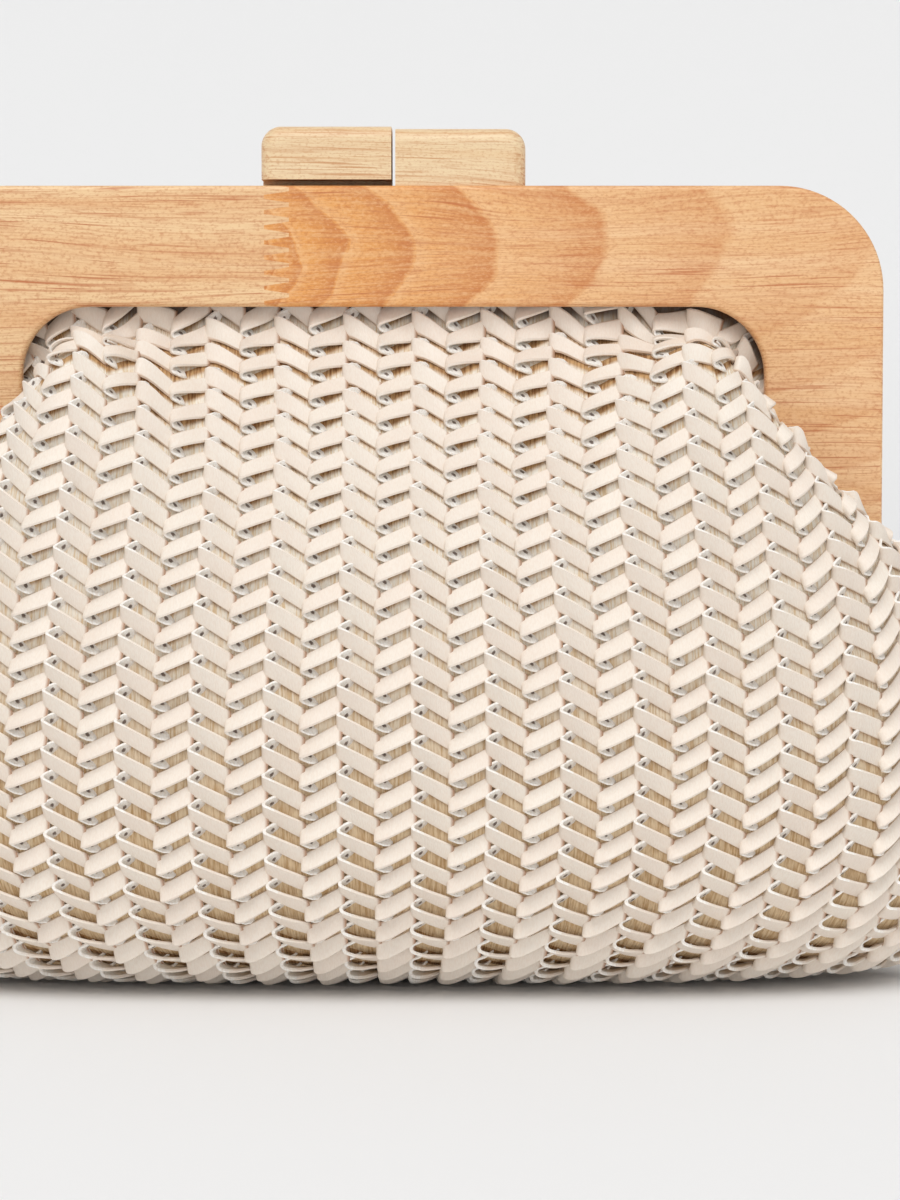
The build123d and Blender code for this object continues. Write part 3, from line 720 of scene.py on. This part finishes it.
def jute_material(name):
    """Fibre backing: tan low down, cream above; painted shade: brown under the straps, dark in the pockets
    at the bar.
    """
    n = Net(name, JUTE_ROUGH)
    u, v = n.uv()
    fine = n.noise((u, v, 0.0), *THREAD_NOISE)
    clump = n.noise((u, v, CLUMP_PLACE), *CLUMP_NOISE)
    tone = n.plus(n.times(fine, FINE_SHARE), n.times(clump, CLUMP_SHARE))
    # Place between two straps of the column, 0 at the middle of one and 1 at the middle of the next above
    column = n.plus(n.times(u, COLUMNS / COLUMN_RUN), SPARE_COLUMNS + 0.5 - COLUMN_SHIFT)
    q = n.math("FRACT", column)
    falling = n.math("MODULO", n.minus(column, q), 2.0)
    rise_line = n.minus(n.times(q, RISE), FALL + STEP_DOWN)
    fall_line = n.times(q, -FALL)
    line = n.plus(rise_line, n.times(n.minus(fall_line, rise_line), falling))
    skew = n.times(u, ROW_SKEW * HALF_WIDTH / COLUMN_RUN)
    up = n.minus(n.minus(n.minus(v, line), skew), ROW_PHASE - SPARE_ROWS * ROW_PITCH)
    place = n.math("FRACT", n.math("DIVIDE", up, ROW_PITCH))
    tan = n.mix(n.ramp(tone, *TAN_RAMP), *TAN)
    cream = n.mix(n.ramp(tone, *CREAM_RAMP), *CREAM)
    shade_brown = n.mix(n.ramp(tone, *UNDER_STRAP_SHADE_RAMP), *UNDER_STRAP_SHADE)
    base = n.mix(n.ramp(v, *HEIGHT_RAMP), tan, cream)
    # Painted brown shade at the top of each gap, under the strap above
    base = n.mix(n.ramp(place, *SHADE_IN_GAP_RAMP), base, shade_brown)
    # Painted dark shade in the pockets below the bar
    base = n.mix(n.ramp(n.value("mouth"), *BAR_SHADE_RAMP), base, BAR_SHADE)
    n.bump(fine, *JUTE_BUMP)
    return n.colour(base)


BRUSH_NOISE, BRUSH_RAMP, BRUSH_BUMP = ((0.25, 1.5, 1.5), 3.0), (0.3, 0.7), (0.05, 0.0001)


def metal(name, light, dark, rough):
    """Metal brushed along x."""
    n = Net(name, rough, 1.0)
    brush = n.noise(n.place(), *BRUSH_NOISE)
    n.bump(brush, *BRUSH_BUMP)
    return n.colour(n.mix(n.ramp(brush, *BRUSH_RAMP), dark, light))


FLOOR_ROUGH, FLOOR_SHINE, FLOOR_RAMP = 0.9, 0.1, (300.0, 1500.0)
FLOOR_NOISE, FLOOR_SPOTS = ((0.004, 0.004, 0.004), 2.0), 0.05


def ground(name, near, far):
    """Matt floor that runs to another tone towards the back."""
    n = Net(name, FLOOR_ROUGH)
    n.bsdf.inputs["Specular IOR Level"].default_value = FLOOR_SHINE
    x, y, z = n.place()
    tone = n.plus(n.ramp(y, *FLOOR_RAMP), n.swing(n.noise((x, y, z), *FLOOR_NOISE), FLOOR_SPOTS), True)
    return n.colour(n.mix(tone, near, far))


material = {
    "pale_board": wood("pale_board", light=lin(243, 208, 160), mid=lin(233, 186, 135),
                       pore=lin(192, 110, 60), pores=0.8, veins=0.5),
    "honey_board": wood("honey_board", light=lin(245, 204, 156), mid=lin(238, 190, 136),
                        pore=lin(194, 110, 58), pores=0.75, veins=0.2,
                        arcs=(lin(203, 118, 44), lin(234, 159, 72))),
    "clasp_wood": wood("clasp_wood", light=lin(240, 216, 176), mid=lin(234, 201, 156),
                       pore=lin(198, 134, 82), pores=0.7, veins=0.3),
    "dowel_wood": wood("dowel_wood", light=lin(230, 196, 146), mid=lin(216, 176, 124),
                       pore=lin(180, 130, 80), pores=0.4, veins=0.3),
    "strap": strap_material("strap", pale=lin(244, 235, 222), warm=lin(239, 224, 210),
                            edge=lin(226, 202, 180), shade_brown=lin(170, 118, 78)),
    "strap_back": backing_material("strap_back", light=lin(252, 249, 244), dark=lin(240, 232, 221),
                                   fold_shadow=lin(84, 56, 40), plain=lin(232, 214, 196)),
    "jute": jute_material("jute"),
    "lining": lining_material("lining", light=lin(226, 208, 180), dark=lin(206, 184, 152)),
    "hinge_brass": metal("hinge_brass", light=lin(206, 170, 104), dark=lin(186, 146, 82), rough=0.32),
    "magnet": metal("magnet", light=lin(190, 190, 192), dark=lin(160, 160, 164), rough=0.28),
    "floor": ground("floor", near=lin(245, 245, 245), far=lin(227, 227, 227)),
}


# Pieces

def follow(o):
    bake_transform(o)


def panel(side):
    """One side of the pouch: the fibre backing, its straps and the lining behind it."""
    back = side == "back"
    jute, jute_area = cloth_piece("jute_" + side, back, jute_depth, JUTE_GRID, JUTE_TOP_GAP, JUTE_THICK)
    jute.data.materials.append(material["jute"])
    straps = []
    for rising, word in ((True, "rising"), (False, "falling")):
        o = strap_piece("straps_%s_%s" % (side, word), rising, back)
        straps.append(o)
    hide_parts("woven_" + side)
    name = "lining_cloth_" + side
    cloth, cloth_area = cloth_piece(name, back, lining_depth, LINING_GRID, LINING_TOP_GAP, LINING_THICK)
    cloth.data.materials.append(material["lining"])
    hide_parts("lining_" + side)
    for o in (jute, *straps, cloth):
        follow(o)


panel("front")
panel("back")

finish_of = {
    "frame_front_left_board": "pale_board",
    "frame_front_right_board": "honey_board",
    "frame_back": "pale_board",
    "hinge_pin_left": "hinge_brass",
    "hinge_pin_right": "hinge_brass",
}
for side in ("front", "back"):
    finish_of["clasp_block_" + side] = "clasp_wood"
    finish_of["clasp_dowels_" + side] = "dowel_wood"
    finish_of["magnets_" + side] = "magnet"
    finish_of["hinge_screws_" + side] = "hinge_brass"
    for hand in ("left", "right"):
        finish_of["hinge_leaf_%s_%s" % (side, hand)] = "hinge_brass"
for node, finish in finish_of.items():
    nodes[node].data.materials.clear()
    nodes[node].data.materials.append(material[finish])


# Stage, in metres

STAGE_FRONT, STAGE_BACK, STAGE_RADIUS, STAGE_TOP, STAGE_HALF = -3.0, 1.6, 1.0, 4.0, 4.0
STAGE_STEPS = 24


def backdrop():
    """Floor that turns up into a wall."""
    angle = np.linspace(0, math.pi / 2, STAGE_STEPS)
    turn_y, turn_z = STAGE_BACK + STAGE_RADIUS * np.sin(angle), STAGE_RADIUS * (1 - np.cos(angle))
    y = np.concatenate([[STAGE_FRONT], turn_y, [STAGE_BACK + STAGE_RADIUS]])
    z = np.concatenate([[0], turn_z, [STAGE_TOP]])
    left = np.stack([np.full_like(y, -STAGE_HALF), y, z], 1)
    right = left * MIRROR
    i = np.arange(len(y) - 1)
    quads = np.stack([i, i + len(y), i + len(y) + 1, i + 1], 1)
    m = build_mesh("backdrop", np.concatenate([left, right]), [quads])
    m.materials.append(material["floor"])
    o = link("backdrop", m)


def sun(name, energy, direction, spread):
    lamp = bpy.data.lights.new(name, "SUN")
    lamp.energy = energy
    lamp.angle = math.radians(spread)
    link(name, lamp).rotation_euler = Vector(direction).to_track_quat("-Z", "Y").to_euler()


backdrop()
sun("key", energy=1.25, direction=(0.12, 0.55, -0.83), spread=40)
sun("fill", energy=0.45, direction=(-0.1, 0.95, -0.28), spread=60)

WORLD_LIGHT = 0.55
world = bpy.data.worlds.new("studio")
bpy.context.scene.world = world
world.use_nodes = True
world.node_tree.nodes["Background"].inputs["Color"].default_value = (1, 1, 1, 1)
world.node_tree.nodes["Background"].inputs["Strength"].default_value = WORLD_LIGHT

ELEVATION = math.radians(4.0)
DISTANCE, VIEW_HEIGHT = 0.95, 0.3
AIM = Vector((0.0141, -0.01415, 0.0969))
cam = bpy.data.cameras.new("camera")
cam.lens = cam.sensor_width * DISTANCE / VIEW_HEIGHT
camera = link("camera", cam)
camera.location = AIM + Vector((0, -DISTANCE * math.cos(ELEVATION), DISTANCE * math.sin(ELEVATION)))
camera.rotation_euler = (math.pi / 2 - ELEVATION, 0, 0)
bpy.context.scene.camera = camera
bpy.context.scene.view_settings.view_transform = "Standard"
